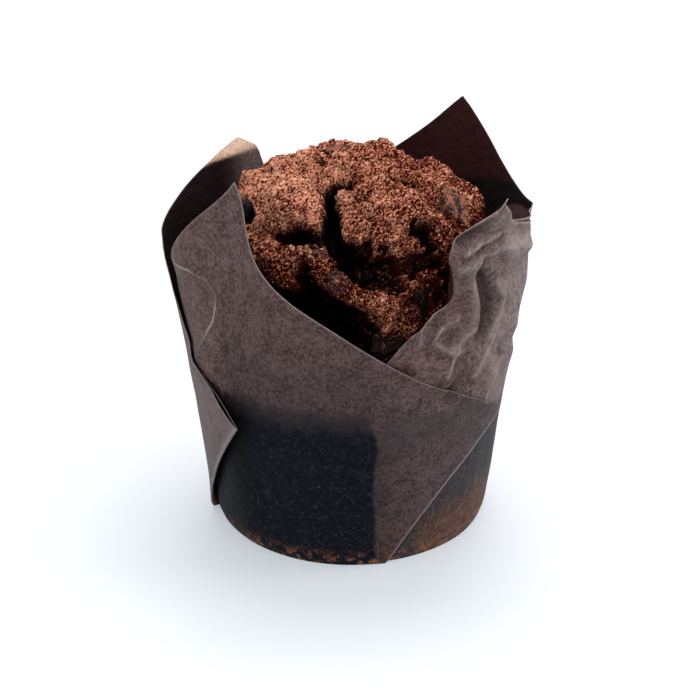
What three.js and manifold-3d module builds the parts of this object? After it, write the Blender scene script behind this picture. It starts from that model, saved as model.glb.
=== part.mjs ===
// A chocolate muffin in a brown tulip paper case.
// Millimetres, +Z up. The origin is at the centre of the case's flat underside, and the front is at -Y.
// Angles round the case are in degrees from the front, growing towards +X.
import * as THREE from 'three';
import { mergeVertices } from 'three/addons/utils/BufferGeometryUtils.js';
import Module from 'manifold-3d';

const wasm = await Module();
wasm.setup();

// Case: one square of paper pressed round the tin, so its wall is a cone with four lapped petals.
const BASE_RADIUS = 25.6;
const WALL_FLARE = 0.118;
const FOOT_HEIGHT = 2.4;
const FOOT_INSET = 1.3;
const PAPER = 0.44;
const LAP_STEP = 0.75;
const MOST_LAP = 2 * LAP_STEP;
const BASE_THICKNESS = 0.5;
const RIB_STEPS = 2;
const CASE_ROWS = 10;
const FOOT_SHARE = 0.035;
const LAP_COLUMNS = 3;
const FOLD_ARC = 0.6;

// Cake: the cone of the tin below, a domed crown with lobes and cracks above.
const CAKE_BOTTOM = 0.85;
const CAKE_BASE_RADIUS = 22.7;
const CAKE_FLARE = 0.11;
const CROWN_CENTRE = new THREE.Vector3(0, 0, 38);
const CROWN_RADIUS = 26.9;
const CROWN_HEIGHT = 30.3;
const CROWN_FULLNESS = 2.6;
const CAKE_COLUMNS = 60;
const CROWN_ROWS = 15;
const SIDE_ROWS = 5;

// Chocolate chunks sit in pockets of the crown with this gap all round.
const POCKET_GAP = 0.35;

const COLOURS = { paper: 0x584543, cake: 0x7a4a38, chocolate: 0x2a1b17 };

// A petal is a fan of ribs that run up the wall from the base to the free edge. Each rib holds its
// angle at the base, its angle and height at the edge, how far it stands off the cone in the middle
// and at the edge, and how much it bows. Every petal starts at its inner pleat and ends at its outer
// pleat, and its tip is a corner of the square sheet.
const rib = (base, top, height, middleLift, topLift, bow = 0) =>
  ({ base, top, height, middleLift, topLift, bow });

const PETALS = [
  {
    tip: 3,
    ribs: [
      rib(-90, -97, 45, -1.5, -1.5),
      rib(-76, -82, 53, -1.2, -0.4),
      rib(-60, -64, 62.5, -0.5, -2.5),
      rib(-44, -48, 71.5, 0, -7.5),
      rib(-31, -29, 58.5, 0, -1.5),
      rib(-17, -3, 48.7, 0, 0),
      rib(-3, 22, 39, 0, 0, 0.2),
      rib(6, 47, 31.5, 0.2, 0.2, 0.6),
      rib(14.5, 78, 22.8, 0.3, 0.4, 1.2),
    ],
  },
  {
    tip: 4,
    ribs: [
      rib(9, 11, 42, -1.5, -1.5),
      rib(24, 24, 50, -1.4, -0.9),
      rib(36, 33, 54, -1.3, -0.3),
      rib(44, 31, 64, -1.2, 0),
      rib(56, 51, 70, -1.1, 0.3),
      rib(66, 59, 64, -0.9, 0.3),
      rib(78, 86, 57.5, -0.4, -0.1),
      rib(92, 128, 40, 0, 0.1, 0.3),
      rib(104, 167, 23, 0.3, 0.4, 1),
    ],
  },
  {
    tip: 4,
    ribs: [
      rib(99, 60, 63.5, -2.2, -2.2),
      rib(112, 90, 59.5, -2, -1.2),
      rib(124, 112, 58.5, -1.5, 1.4),
      rib(136, 127, 61.5, -1.1, 2.8),
      rib(148, 145, 69.8, -1, 3.5),
      rib(160, 162, 60, -0.4, 2.2),
      rib(180, 205, 42, 0.1, 0.6, 0.3),
      rib(194, 252, 25, 0.3, 0.4, 1),
    ],
  },
  {
    tip: 2,
    ribs: [
      rib(189, 190, 47, -1.5, -1.5),
      rib(201, 206, 57, -1.4, 0),
      rib(213, 213, 65.4, -1.2, 1),
      rib(228, 234, 60, -1, 1),
      rib(242, 262, 57, -0.2, 1.6),
      rib(254, 276, 55, 0.6, 2),
      rib(264, 283, 41, 0.6, 0.8),
      rib(272, 302, 33.5, 0.8, 1.4),
      rib(278, 323, 28.4, 1.6, 4.2),
    ],
  },
];

// The back petal's corner is bent outwards along a crease between these two places on the wall.
const DOG_EAR = {
  petal: 3,
  from: { angle: 238, height: 59.2 },
  to: { angle: 210, height: 59.6 },
  turn: THREE.MathUtils.degToRad(66),
  radius: 1.6,
};

// Lobes swell the crown and cracks cut into it. Each is a place, a reach and a depth along the dome.
const LOBES = [
  { at: [-10, -12, 65], reach: 10, rise: 1 },
  { at: [9, -15, 64], reach: 12, rise: 1.4 },
  { at: [-13, -19, 57], reach: 7.5, rise: 1 },
  { at: [7, -25, 50], reach: 6, rise: 0.8 },
  { at: [21, 2, 60], reach: 11, rise: 1.2 },
  { at: [6, 12, 67], reach: 10, rise: 1.3 },
  { at: [15, 6, 65], reach: 9, rise: 1.2 },
  { at: [-12, 10, 65], reach: 10, rise: 0.4 },
];

const CRACKS = [
  { at: [-1, -8, 68], reach: 3.5, rise: -1.5 },
  { at: [-2, -18, 63.5], reach: 4.5, rise: -3.2 },
  { at: [-1, -22.5, 58.5], reach: 5, rise: -4 },
  { at: [6, -23, 56.5], reach: 6, rise: -4 },
  { at: [13.5, -17, 59.5], reach: 4, rise: -2 },
  { at: [-8.5, -17, 62.5], reach: 4.5, rise: -2 },
  { at: [-4, -26, 46], reach: 9, rise: -1.5 },
];

// A chunk is a rough block: where its middle lies, its size, its turn and tilt, and the seed of its
// uneven corners.
const CHUNKS = [
  { at: [18, -6.6, 61.8], size: [6, 7.6, 3.2], turn: 12, tilt: [14, 42], seed: 3 },
  { at: [22.5, 4.6, 60.1], size: [2.4, 3.4, 2.2], turn: 0, tilt: [-8, 50], seed: 5 },
  { at: [-2.9, 8.4, 68.2], size: [5.8, 4.2, 2.2], turn: 6, tilt: [-6, -3], seed: 7 },
  { at: [-17.8, -7.6, 61.9], size: [3.2, 4.8, 3.2], turn: -14, tilt: [14, -44], seed: 11 },
  { at: [12.7, -20.8, 50.4], size: [5.2, 4.4, 6.2], turn: 31, tilt: [0, 0], seed: 13 },
  { at: [6.6, -24.5, 43.6], size: [6.2, 4, 5], turn: 15, tilt: [0, 6], seed: 17 },
];

const radians = THREE.MathUtils.degToRad;

// The cone's radius at a height, drawn in at the foot where the paper rounds into the base.
function coneRadius(height) {
  const foot = Math.max(0, 1 - height / FOOT_HEIGHT);
  return BASE_RADIUS + WALL_FLARE * height - FOOT_INSET * foot * foot;
}

function onCone(angle, radius, height) {
  const turn = radians(angle);
  return new THREE.Vector3(radius * Math.sin(turn), -radius * Math.cos(turn), height);
}

// Smooth curve through evenly spaced values, read at place x.
function through(values, x) {
  const last = values.length - 1;
  const i = Math.min(Math.floor(x), last - 1);
  const u = x - i;
  const b = values[i];
  const c = values[i + 1];
  const a = i > 0 ? values[i - 1] : 2 * b - c;
  const d = i + 2 <= last ? values[i + 2] : 2 * c - b;
  return 0.5 * (2 * b + (c - a) * u + (2 * a - 5 * b + 4 * c - d) * u * u + (3 * b - a - 3 * c + d) * u ** 3);
}

// The rib at place x of a petal. Its edge is smooth on both sides of the tip and sharp at the tip.
function ribAt(petal, x) {
  const side = x <= petal.tip ? petal.ribs.slice(0, petal.tip + 1) : petal.ribs.slice(petal.tip);
  const sideX = x <= petal.tip ? x : x - petal.tip;
  const blend = (key) => through(petal.ribs.map((r) => r[key]), x);
  const edge = (key) => through(side.map((r) => r[key]), sideX);
  return rib(blend('base'), edge('top'), edge('height'), blend('middleLift'), blend('topLift'), blend('bow'));
}

// Angle, height and stand-off of a point at share t of the way up a rib.
function alongRib(r, t) {
  const baseLift = THREE.MathUtils.clamp(r.middleLift, -MOST_LAP, 1);
  const lift = baseLift * (1 - t) * (1 - 2 * t) + 4 * r.middleLift * t * (1 - t) + r.topLift * t * (2 * t - 1);
  return {
    angle: r.base + (r.top - r.base) * t,
    height: r.height * (t + r.bow * t * (1 - t)),
    lift,
  };
}

function wallPoint({ angle, height, lift }) {
  return onCone(angle, coneRadius(height) + lift, height);
}

// Bends a point of the dog-eared petal over its crease, in a small round of the given radius.
function bendTip(point) {
  const from = wallPoint({ ...DOG_EAR.from, lift: 0.8 });
  const to = wallPoint({ ...DOG_EAR.to, lift: 0.8 });
  const along = to.clone().sub(from).normalize();
  const middleAngle = (DOG_EAR.from.angle + DOG_EAR.to.angle) / 2;
  const outward = onCone(middleAngle, 1, 0);
  const up = new THREE.Vector3().crossVectors(along, outward).normalize();
  if (up.z < 0) up.negate();
  outward.crossVectors(up, along).normalize();
  if (outward.dot(from) < 0) outward.negate();
  const offset = point.clone().sub(from);
  const past = offset.dot(up);
  if (past <= 0) return point;
  const reached = Math.min(past / DOG_EAR.radius, DOG_EAR.turn);
  const straight = past - reached * DOG_EAR.radius;
  const height = DOG_EAR.radius * Math.sin(reached) + straight * Math.cos(reached);
  const out = DOG_EAR.radius * (1 - Math.cos(reached)) + straight * Math.sin(reached);
  return from.clone()
    .addScaledVector(along, offset.dot(along))
    .addScaledVector(up, height)
    .addScaledVector(outward, offset.dot(outward) + out);
}

// Shares of a rib's height at which the wall has a row, with one extra row low down for the foot.
function wallShares() {
  const even = Array.from({ length: CASE_ROWS }, (_, i) => (i + 1) / CASE_ROWS);
  return [0, FOOT_SHARE, ...even];
}

// The paper's middle surface as columns of points: each petal, then the hidden lap that runs back
// from its outer pleat to the next petal's inner pleat, with a rounded fold at each end.
function paperColumns() {
  const columns = [];
  const shares = wallShares();
  PETALS.forEach((petal, index) => {
    const count = (petal.ribs.length - 1) * RIB_STEPS;
    for (let i = 0; i <= count; i += 1) {
      const r = ribAt(petal, i / RIB_STEPS);
      const column = shares.map((t) => wallPoint(alongRib(r, t)));
      columns.push(index === DOG_EAR.petal ? column.map(bendTip) : column);
    }
    const next = PETALS[(index + 1) % PETALS.length];
    const wrap = index === PETALS.length - 1 ? 360 : 0;
    const outer = petal.ribs.at(-1);
    const inner = next.ribs[0];
    for (let i = 0; i <= LAP_COLUMNS + 3; i += 1) {
      const s = THREE.MathUtils.clamp((i - 1) / (LAP_COLUMNS + 1), 0, 1);
      const turning = i === 0 ? 0.5 : (i === LAP_COLUMNS + 3 ? -0.5 : 0);
      columns.push(shares.map((t) => {
        const a = alongRib(outer, t);
        const b = alongRib(inner, t);
        const sag = 2 * Math.sin(Math.PI * s) * t;
        const side = turning > 0 ? FOLD_ARC : (turning < 0 ? -FOLD_ARC : 0);
        return wallPoint({
          angle: THREE.MathUtils.lerp(a.angle, b.angle + wrap, s) + side,
          height: THREE.MathUtils.lerp(a.height, b.height, s) - sag,
          lift: THREE.MathUtils.lerp(a.lift - LAP_STEP, b.lift + LAP_STEP, s) + turning * LAP_STEP,
        });
      }));
    }
  });
  return columns;
}

function geometryFrom(points, faces) {
  const geometry = new THREE.BufferGeometry();
  geometry.setAttribute('position', new THREE.Float32BufferAttribute(points.flatMap((p) => p.toArray()), 3));
  geometry.setIndex(faces.flat());
  return geometry;
}

// Gives the paper its thickness: every point steps half the thickness to each side.
function paperWall() {
  const columns = paperColumns();
  const count = columns.length;
  const rows = columns[0].length;
  const outside = [];
  const inside = [];
  for (let c = 0; c < count; c += 1) {
    for (let r = 0; r < rows; r += 1) {
      const along = columns[(c + 1) % count][r].clone().sub(columns[(c + count - 1) % count][r]);
      const up = columns[c][Math.min(r + 1, rows - 1)].clone().sub(columns[c][Math.max(r - 1, 0)]);
      const normal = new THREE.Vector3().crossVectors(along, up).normalize();
      for (const [list, sign] of [[outside, 1], [inside, -1]]) {
        const point = columns[c][r].clone().addScaledVector(normal, sign * PAPER / 2);
        if (r === 0) point.z = 0;
        list.push(point);
      }
    }
  }
  const points = [...outside, ...inside];
  const at = (c, r, wall) => wall * count * rows + (c % count) * rows + r;
  const faces = [];
  const quad = (a, b, c, d) => faces.push([a, b, c], [a, c, d]);
  for (let c = 0; c < count; c += 1) {
    for (let r = 0; r < rows - 1; r += 1) {
      quad(at(c, r, 0), at(c + 1, r, 0), at(c + 1, r + 1, 0), at(c, r + 1, 0));
      quad(at(c, r, 1), at(c, r + 1, 1), at(c + 1, r + 1, 1), at(c + 1, r, 1));
    }
    quad(at(c, rows - 1, 0), at(c + 1, rows - 1, 0), at(c + 1, rows - 1, 1), at(c, rows - 1, 1));
    quad(at(c, 0, 1), at(c + 1, 0, 1), at(c + 1, 0, 0), at(c, 0, 0));
  }
  return geometryFrom(points, faces);
}

function toSolid(geometry) {
  const bare = geometry.clone();
  bare.deleteAttribute('normal');
  bare.deleteAttribute('uv');
  const merged = mergeVertices(bare, 1e-4);
  return new wasm.Manifold(new wasm.Mesh({
    numProp: 3,
    vertProperties: Float32Array.from(merged.attributes.position.array),
    triVerts: Uint32Array.from(merged.index.array),
  }));
}

function toGeometry(solid) {
  const mesh = solid.getMesh();
  const geometry = new THREE.BufferGeometry();
  geometry.setAttribute('position', new THREE.BufferAttribute(Float32Array.from(mesh.vertProperties), 3));
  geometry.setIndex(Array.from(mesh.triVerts));
  geometry.computeVertexNormals();
  return geometry;
}

function tulipCase() {
  const discRadius = BASE_RADIUS - FOOT_INSET;
  const disc = new THREE.CylinderGeometry(discRadius, discRadius, BASE_THICKNESS, 48);
  disc.rotateX(Math.PI / 2);
  disc.translate(0, 0, BASE_THICKNESS / 2);
  return toSolid(paperWall()).add(toSolid(disc));
}

// Moves a point of the plain dome in or out by the lobes and cracks within reach of it.
function rugged(point) {
  const outward = point.clone().sub(CROWN_CENTRE).normalize();
  let rise = 0;
  for (const bump of [...LOBES, ...CRACKS]) {
    const near = 1 - point.distanceTo(new THREE.Vector3(...bump.at)) / bump.reach;
    if (near > 0) rise += bump.rise * near * near * (3 - 2 * near);
  }
  return point.clone().addScaledVector(outward, rise);
}

function cake() {
  const profile = [];
  for (let i = 0; i <= SIDE_ROWS; i += 1) {
    const height = THREE.MathUtils.lerp(CAKE_BOTTOM, CROWN_CENTRE.z, i / SIDE_ROWS);
    profile.push([CAKE_BASE_RADIUS + CAKE_FLARE * height, height]);
  }
  for (let i = 1; i < CROWN_ROWS; i += 1) {
    const angle = (Math.PI / 2) * (i / CROWN_ROWS);
    const radius = CROWN_RADIUS * Math.cos(angle) ** (2 / CROWN_FULLNESS);
    profile.push([radius, CROWN_CENTRE.z + CROWN_HEIGHT * Math.sin(angle) ** (2 / CROWN_FULLNESS)]);
  }
  const points = [];
  for (const [radius, height] of profile) {
    for (let c = 0; c < CAKE_COLUMNS; c += 1) {
      const point = onCone((c / CAKE_COLUMNS) * 360, radius, height);
      points.push(height > CROWN_CENTRE.z ? rugged(point) : point);
    }
  }
  const bottom = points.push(new THREE.Vector3(0, 0, CAKE_BOTTOM)) - 1;
  const top = points.push(rugged(new THREE.Vector3(0, 0, CROWN_CENTRE.z + CROWN_HEIGHT))) - 1;
  const faces = [];
  for (let c = 0; c < CAKE_COLUMNS; c += 1) {
    const n = (c + 1) % CAKE_COLUMNS;
    for (let r = 0; r < profile.length - 1; r += 1) {
      const low = r * CAKE_COLUMNS;
      const high = low + CAKE_COLUMNS;
      faces.push([low + c, low + n, high + n], [low + c, high + n, high + c]);
    }
    const rim = (profile.length - 1) * CAKE_COLUMNS;
    faces.push([bottom, n, c], [top, rim + c, rim + n]);
  }
  return toSolid(geometryFrom(points, faces));
}

// A rough block of chocolate, grown on every side by the given amount.
function chunkBlock({ at, size, turn, tilt, seed }, grow) {
  const block = new THREE.BoxGeometry(1, 1, 1, 2, 2, 2);
  block.deleteAttribute('normal');
  block.deleteAttribute('uv');
  const geometry = mergeVertices(block, 1e-4);
  const position = geometry.attributes.position;
  const point = new THREE.Vector3();
  for (let i = 0; i < position.count; i += 1) {
    point.fromBufferAttribute(position, i);
    const uneven = 1 + 0.1 * Math.sin(seed * 12.9 + i * 7.3);
    const rounding = 1 - 0.22 * Math.max(0, point.length() - 0.5);
    point.multiplyScalar(uneven * rounding);
    point.multiply(new THREE.Vector3(size[0] + 2 * grow, size[1] + 2 * grow, size[2] + 2 * grow));
    position.setXYZ(i, point.x, point.y, point.z);
  }
  geometry.applyMatrix4(new THREE.Matrix4().makeRotationZ(radians(turn)));
  geometry.applyMatrix4(new THREE.Matrix4().makeRotationX(radians(tilt[0])));
  geometry.applyMatrix4(new THREE.Matrix4().makeRotationY(radians(tilt[1])));
  geometry.translate(...at);
  return toSolid(geometry);
}

const group = new THREE.Group();

function addPiece(name, solid, colour, roughness) {
  const material = new THREE.MeshStandardMaterial({ color: colour, roughness, metalness: 0 });
  const mesh = new THREE.Mesh(toGeometry(solid), material);
  mesh.name = name;
  group.add(mesh);
}

let muffin = cake();
for (const chunk of CHUNKS) {
  muffin = muffin.subtract(chunkBlock(chunk, POCKET_GAP));
}

addPiece('tulip_case', tulipCase(), COLOURS.paper, 0.85);
addPiece('muffin', muffin, COLOURS.cake, 0.95);
CHUNKS.forEach((chunk, index) => {
  addPiece(`chocolate_chunk_${index + 1}`, chunkBlock(chunk, 0), COLOURS.chocolate, 0.5);
});

export default group;
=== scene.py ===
"""A chocolate muffin with a cracked, cocoa-dusted crown, standing in its folded tulip paper case."""

import math

import bmesh
import bpy
import numpy as np
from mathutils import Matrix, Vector, noise


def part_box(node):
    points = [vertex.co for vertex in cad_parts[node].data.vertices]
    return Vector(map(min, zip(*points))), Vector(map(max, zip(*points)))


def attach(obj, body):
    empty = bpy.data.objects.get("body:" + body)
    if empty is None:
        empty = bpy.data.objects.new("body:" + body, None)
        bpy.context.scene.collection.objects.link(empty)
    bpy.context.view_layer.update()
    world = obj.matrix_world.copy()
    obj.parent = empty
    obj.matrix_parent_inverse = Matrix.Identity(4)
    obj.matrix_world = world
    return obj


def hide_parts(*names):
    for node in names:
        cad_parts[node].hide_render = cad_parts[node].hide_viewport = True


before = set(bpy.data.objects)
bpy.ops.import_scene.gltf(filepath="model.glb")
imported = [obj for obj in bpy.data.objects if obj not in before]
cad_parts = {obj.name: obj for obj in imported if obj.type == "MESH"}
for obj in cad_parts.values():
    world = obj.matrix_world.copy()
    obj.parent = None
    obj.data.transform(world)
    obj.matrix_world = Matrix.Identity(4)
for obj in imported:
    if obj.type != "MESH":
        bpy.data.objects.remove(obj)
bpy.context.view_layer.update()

# Camera and studio.
# The muffin stands on a plain white table. The camera looks down on its front, a soft light hangs
# above and behind it, a weaker one lights its right side, and a bright surround fills in the rest.
MM = 0.001
CAMERA_DISTANCE = 0.42
CAMERA_ELEVATION = math.radians(26)
CAMERA_LENS = 116.6
SENSOR_WIDTH = 36
NEAREST_SEEN = 0.01
AIM = Vector((0, 0, 0.031))
SURROUND_COLOUR = (0.93, 0.965, 1, 1)
SURROUND_STRENGTH = 1.75
TABLE_SIZE = 3.0
TABLE_ROUGHNESS = 0.6
TABLE_COLOUR = (0.25, 0.25, 0.25, 1)
TABLE_GLOW = (0.35, 0.38, 0.42, 1)

back = Vector((0, -math.cos(CAMERA_ELEVATION), math.sin(CAMERA_ELEVATION)))
camera_data = bpy.data.cameras.new("camera")
camera_data.lens = CAMERA_LENS
camera_data.sensor_width = SENSOR_WIDTH
camera_data.clip_start = NEAREST_SEEN
camera = bpy.data.objects.new("camera", camera_data)
camera.location = AIM + back * CAMERA_DISTANCE
camera.rotation_mode = "QUATERNION"
camera.rotation_quaternion = (-back).to_track_quat("-Z", "Y")
bpy.context.scene.collection.objects.link(camera)
bpy.context.scene.camera = camera
bpy.context.scene.view_settings.view_transform = "Standard"


def soft_light(name, place, size, watts, colour):
    """A square soft box that points at the muffin."""
    data = bpy.data.lights.new(name, "AREA")
    data.size = size
    data.energy = watts
    data.color = colour
    light = bpy.data.objects.new(name, data)
    light.location = place
    light.rotation_mode = "QUATERNION"
    light.rotation_quaternion = (AIM - Vector(place)).to_track_quat("-Z", "Y")
    bpy.context.scene.collection.objects.link(light)


soft_light("top_light", (0.08, 0.33, 0.92), 0.5, 9, (1, 0.96, 0.91))
soft_light("side_light", (0.8, 0.05, 0.6), 0.4, 5, (1, 0.98, 0.95))
world = bpy.data.worlds.new("studio")
world.use_nodes = True
surround = world.node_tree.nodes["Background"]
surround.inputs["Color"].default_value = SURROUND_COLOUR
surround.inputs["Strength"].default_value = SURROUND_STRENGTH
bpy.context.scene.world = world


class Link:
    """A socket of a material's nodes. Sums and products of links add the Math nodes they need."""

    def __init__(self, tree, socket):
        self.tree = tree
        self.socket = socket

    def node(self, kind, inputs, settings=None, output=0):
        """Adds a node, sets it up, fills or joins its inputs by name or number, gives one output."""
        made = self.tree.nodes.new(kind)
        for name, value in (settings or {}).items():
            if name == "stops":
                self.fill_ramp(made.color_ramp, value)
            else:
                setattr(made, name, value)
        for name, value in inputs.items():
            if isinstance(value, Link):
                self.tree.links.new(value.socket, made.inputs[name])
            else:
                made.inputs[name].default_value = value
        return Link(self.tree, made.outputs[output])

    @staticmethod
    def fill_ramp(ramp, stops):
        """Gives a colour ramp its stops, each a place and a colour."""
        while len(ramp.elements) < len(stops):
            ramp.elements.new(0.5)
        for element, (place, colour) in zip(ramp.elements, stops):
            element.position = place
            element.color = (*colour, 1)

    def maths(self, operation, first, second=0.0):
        """One Math node on two links or numbers."""
        return self.node("ShaderNodeMath", {0: first, 1: second}, {"operation": operation})

    def __add__(self, other):
        return self.maths("ADD", self, other)

    __radd__ = __add__

    def __sub__(self, other):
        return self.maths("SUBTRACT", self, other)

    def __rsub__(self, other):
        return self.maths("SUBTRACT", other, self)

    def __mul__(self, other):
        return self.maths("MULTIPLY", self, other)

    __rmul__ = __mul__

    def __pow__(self, other):
        return self.maths("POWER", self, other)

    def at_least(self, other):
        return self.maths("MAXIMUM", self, other)

    def at_most(self, other):
        return self.maths("MINIMUM", self, other)

    def step(self, low, high):
        """0 below low and 1 above high, with a smooth rise between; low may be the larger."""
        inputs = {"Value": self, "From Min": low, "From Max": high, "To Min": 0.0, "To Max": 1.0}
        return self.node("ShaderNodeMapRange", inputs, {"interpolation_type": "SMOOTHSTEP"})

    def mix(self, first, second):
        """first where this mask is 0, and second where it is 1."""
        sides = [side if isinstance(side, Link) else (*side, 1) for side in (first, second)]
        inputs = {0: self, 6: sides[0], 7: sides[1]}
        return self.node("ShaderNodeMix", inputs, {"data_type": "RGBA"}, 2)

    def noise(self, scale, detail=2.0, roughness=0.5):
        """Smooth noise, with scale its waves to a millimetre."""
        inputs = {"Vector": self, "Scale": scale, "Detail": detail, "Roughness": roughness}
        return self.node("ShaderNodeTexNoise", inputs)

    def cells(self, scale):
        """How far each place is from the nearest of many scattered seeds."""
        return self.node("ShaderNodeTexVoronoi", {"Vector": self, "Scale": scale})

    def bump(self, strength, distance, normal=None):
        """A normal from this height, laid over another one where that is given."""
        inputs = {"Height": self, "Strength": strength, "Distance": distance}
        if normal is not None:
            inputs["Normal"] = normal
        return self.node("ShaderNodeBump", inputs)

    def mark(self, name):
        """A number kept on the points of a mesh."""
        return self.node("ShaderNodeAttribute", {}, {"attribute_name": name}, "Fac")

    def axis(self, index):
        return self.node("ShaderNodeSeparateXYZ", {0: self}, output=index)


def new_finish(name, roughness, **constants):
    """A material, and its place in millimetres as a link."""
    material = bpy.data.materials.new(name)
    material.use_nodes = True
    tree = material.node_tree
    shader = tree.nodes["Principled BSDF"]
    shader.inputs["Roughness"].default_value = roughness
    for socket, value in constants.items():
        shader.inputs[socket.replace("_", " ")].default_value = value
    origin = Link(tree, tree.nodes.new("ShaderNodeTexCoord").outputs["Object"])
    place = origin.node("ShaderNodeVectorMath", {0: origin, "Scale": 1 / MM}, {"operation": "SCALE"})
    return material, place


def finish_socket(material, name, link):
    """Joins a link to one socket of a material's shader."""
    tree = material.node_tree
    tree.links.new(link.socket, tree.nodes["Principled BSDF"].inputs[name])


def new_piece(name, bm, *materials):
    """Turns a finished bmesh into a named object at the origin, with its materials."""
    mesh = bpy.data.meshes.new(name)
    bm.to_mesh(mesh)
    bm.free()
    for material in materials:
        mesh.materials.append(material)
    piece = bpy.data.objects.new(name, mesh)
    bpy.context.scene.collection.objects.link(piece)
    return piece


table_bm = bmesh.new()
bmesh.ops.create_grid(table_bm, x_segments=1, y_segments=1, size=TABLE_SIZE / 2)
table_white, _ = new_finish("table_white", TABLE_ROUGHNESS)
table_shader = table_white.node_tree.nodes["Principled BSDF"]
table_shader.inputs["Base Color"].default_value = TABLE_COLOUR
table_shader.inputs["Emission Color"].default_value = TABLE_GLOW
table_shader.inputs["Emission Strength"].default_value = 1.0
table = new_piece("table", table_bm, table_white)

# Tulip case.
# One square of brown greaseproof paper pressed round a mould. Its four corners stand up as petals,
# and the paper between them is folded into four flat pleats that lap the same way round.
BASE_RADIUS = 25.6
WALL_FLARE = 0.118
FOOT_HEIGHT = 2.4
FOOT_INSET = 0.35
DENT_ANGLE = -46
DENT_WIDTH = 24
DENT_HEIGHT = 6
DENT_DEPTH = 0.5
PAPER_THICKNESS = 0.17
LAP_STEP = 0.26
LAP_SAG = 2
LAP_HUG = 5
LAP_TURN = 0.6
CASE_ROWS = 104
ROW_CROWDING = 0.8
BASE_RINGS = (0.97, 0.86, 0.6, 0.3)

# The front petal, then the right one, the back right one and the back left one. Each has the ribs
# that end in its corners, how many columns of points lie between two ribs and in the pleat after
# them, then its ribs. A rib: the angle at the base, the angle and height at the free edge, how far
# the paper stands off the cone at the base, halfway up and at the edge, and how much the rib bows.
# Angles are in degrees from the front towards +X, and the rest is in millimetres.
PETALS = (
    ((3,), 14, 8, (
        (-90, -97, 45, -0.5, -0.4, -0.4, 0),
        (-76, -82, 52, -0.5, -0.2, 0.2, 0),
        (-60, -64, 62, -0.3, 0, -1.8, 0),
        (-44, -48, 71.5, 0, 0, -7.5, 0),
        (-31, -29, 58.5, 0, 0, -1.5, 0),
        (-17, -3, 48.7, 0, 0, 0, 0),
        (-3, 22, 39, 0, 0, 0, 0.2),
        (6, 47, 31.5, 0, 0.2, 0.2, 0.6),
        (14.5, 78, 22.8, 0.2, 0.4, 0.1, 1.2),
    )),
    ((4,), 17, 22, (
        (9, 11, 42, -0.5, -0.5, -0.5, 0),
        (24, 24, 50, -0.5, -0.5, -0.3, 0),
        (36, 33, 54, -0.5, -0.5, -0.1, 0),
        (44, 31, 64, -0.45, -0.45, 0, 0),
        (56, 51, 70, -0.4, -0.4, 0.3, 0),
        (66, 59, 64, -0.4, -0.35, 0.3, 0),
        (78, 86, 57.5, -0.3, 0, 0, 0),
        (92, 128, 40, 0, 0.3, 0.3, 0.3),
        (104, 167, 23, 0.1, 0.3, 0.4, 0.45),
    )),
    ((4,), 6, 8, (
        (99, 60, 63.5, -0.8, -1, -0.8, 0),
        (112, 90, 59.5, -0.6, -1, 0.3, 0),
        (124, 112, 57.4, -0.5, -0.5, 1.9, 0),
        (136, 127, 60.6, -0.4, -0.3, 2.8, 0),
        (148, 145, 69.8, -0.4, -0.2, 3.5, 0),
        (160, 162, 60, -0.2, 0, 2.2, 0),
        (180, 205, 42, 0, 0.1, 0.6, 0.3),
        (194, 252, 25, 0.1, 0.3, 0.4, 0.45),
    )),
    ((1, 2, 5), 10, 8, (
        (189, 207, 50, -0.5, -0.5, -0.5, 0),
        (201, 212, 60.6, -0.5, -0.5, 0.8, 0),
        (213, 215, 63.3, -0.4, -0.3, 0.9, 0),
        (228, 228, 61, -0.3, 0, 0.7, 0),
        (242, 250, 56.9, -0.1, 0.3, 1.6, 0),
        (254, 267, 54.4, 0, 0.3, 2.2, 0),
        (264, 283, 41, 0.1, 0.4, 0.8, 0),
        (272, 302, 33.5, 0.3, 0.5, 0.9, 0),
        (278, 323, 28.4, 0.9, 1.6, 4.2, -0.15),
    )),
)
EAR_PETAL = 3
EAR_FROM = (236, 59.7)
EAR_TO = (215.5, 59.8)
EAR_STAND_OFF = 0.8
EAR_TURN = math.radians(66)
EAR_ROUND = 1.2
EAR_FADE = 0.4

# Creases pressed into the paper: a line of (angle, height) places, how far it stands out, or in
# where that is negative, and how far to each side it reaches.
CREASES = (
    (((35, 62.3), (41.7, 63.2), (48.9, 63.8)), 1, 0.9),
    (((34, 64.4), (42, 65.4), (46, 66.4), (52, 68.5)), -1.3, 1.8),
    (((35, 60.9), (42.5, 61.8), (51.2, 62.2)), -1.7, 0.9),
    (((34, 59.4), (42.4, 60), (51.4, 60.6), (61.5, 58.8), (75, 55.6)), 1.2, 3),
    (((39.3, 59), (41.6, 54), (42.2, 49)), 1, 2.6),
    (((45.5, 58), (47.5, 54), (51, 50), (50, 44)), -2, 3.4),
    (((47, 58.8), (51.5, 54.5), (55.5, 50), (56.5, 46.5), (52, 42.5)), 1.3, 1.6),
    (((57.8, 46), (52.8, 41.1), (47, 36)), 0.9, 2.2),
    (((68.7, 36), (57.5, 33.8), (54.9, 29)), 1, 2.2),
    (((67.5, 49), (68.6, 40.4), (63.3, 35)), -0.6, 3),
    (((36.1, 49.5), (29.5, 48.1), (26.9, 46), (32.1, 43.7), (40.9, 41.9)), 0.9, 1.4),
    (((42, 46), (37, 44), (34, 38)), 0.9, 2.4),
    (((24.8, 51.1), (22.3, 49), (23, 45.9)), 0.8, 1.4),
    (((44, 36), (36, 33)), -1, 2.4),
    (((60, 52), (66, 56), (76, 59)), -0.5, 2.6),
    (((80, 43), (102, 41)), 0.9, 8),
)

# How pale a raised crease is, worn and with a painted highlight, and how far to each side.
CREASE_WEAR_AND_HIGHLIGHT = 0.75
CREASE_WEAR_AND_HIGHLIGHT_REACH = 0.42

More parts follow.
